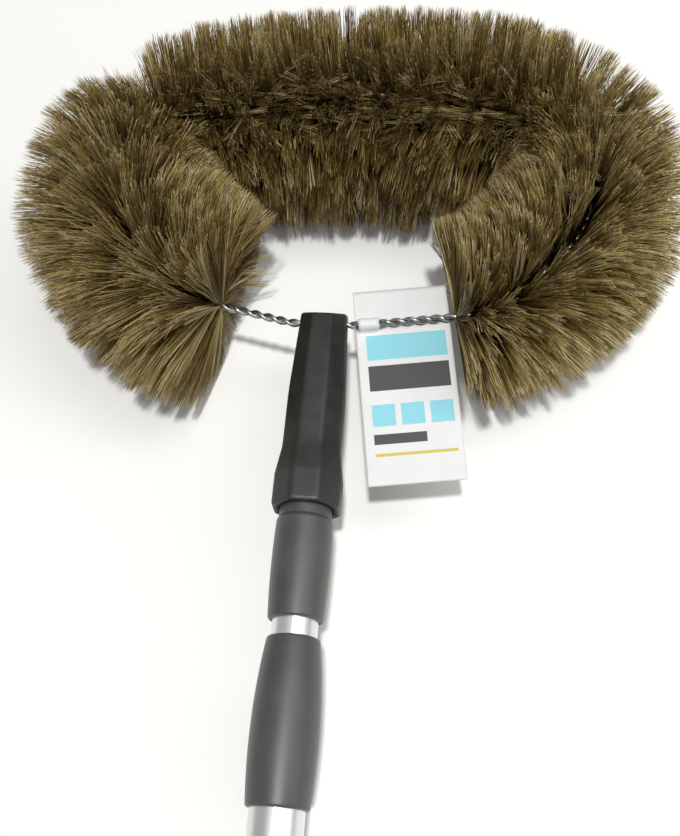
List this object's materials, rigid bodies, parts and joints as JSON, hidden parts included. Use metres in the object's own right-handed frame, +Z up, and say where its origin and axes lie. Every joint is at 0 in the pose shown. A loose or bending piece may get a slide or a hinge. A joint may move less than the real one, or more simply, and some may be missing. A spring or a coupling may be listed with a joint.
{
  "type": "cobweb brush",
  "caption": "Oval twisted-wire fibre brush head in an octagonal socket that pushes onto a twist-lock telescopic aluminium pole with soft grips, for sweeping cobwebs.",
  "frame": {"origin": "middle of the floor area that the brush covers, on the floor", "axes": "+Y along the pole from butt to head, +Z up, +X to the right seen from the butt"},
  "size_m": [0.3404, 1.0262, 0.1084],
  "materials": {
    "aluminium_tube": "satin drawn aluminium",
    "soft_grip": "matte soft-touch grey",
    "grey_plastic": "moulded, satin",
    "black_plastic": "moulded, fine grain",
    "zinc_screw": "zinc plated",
    "galvanised_wire": "galvanised, slightly dull",
    "brush_fibre": "loose brown fibre with paler tips",
    "printed_card": "printed card, no lettering"
  },
  "bodies": {
    "outer_pole": {"outer_tube": "aluminium_tube", "guide_bush": "grey_plastic", "lower_grip": "soft_grip", "end_cap": "black_plastic"},
    "lock_ring": {"lock_cam": "grey_plastic"},
    "inner_pole": {"inner_tube": "aluminium_tube", "lock_plug": "grey_plastic", "lock_disc": "grey_plastic", "lock_screw": "zinc_screw", "upper_grip": "soft_grip", "pole_tip": "grey_plastic"},
    "head": {"socket": "black_plastic", "wire_plug": "black_plastic", "wire_strand_a": "galvanised_wire", "wire_strand_b": "galvanised_wire", "fibre": "brush_fibre"},
    "hang_tag": {"tag": "printed_card"}
  },
  "joints": [
    {"name": "pole_extend", "type": "slide", "parent": "outer_pole", "child": "lock_ring", "axis": [0, 0.9989, 0.0472], "range_m": [0, 0.545]},
    {"name": "twist_lock", "type": "hinge", "parent": "lock_ring", "child": "inner_pole", "pos_m": [-0.0101, -0.43101, 0.01423], "axis": [0, 0.9989, 0.0472], "range_deg": [-40, 40]},
    {"name": "head_pull_off", "type": "slide", "parent": "inner_pole", "child": "head", "axis": [0, 0.9989, 0.0472], "range_m": [0, 0.06]},
    {"name": "tag_swing", "type": "hinge", "parent": "head", "child": "hang_tag", "pos_m": [0.0049, 0.32658, 0.05], "axis": [0.9898, 0.1425, 0.0067], "range_deg": [-130, 120]}
  ]
}
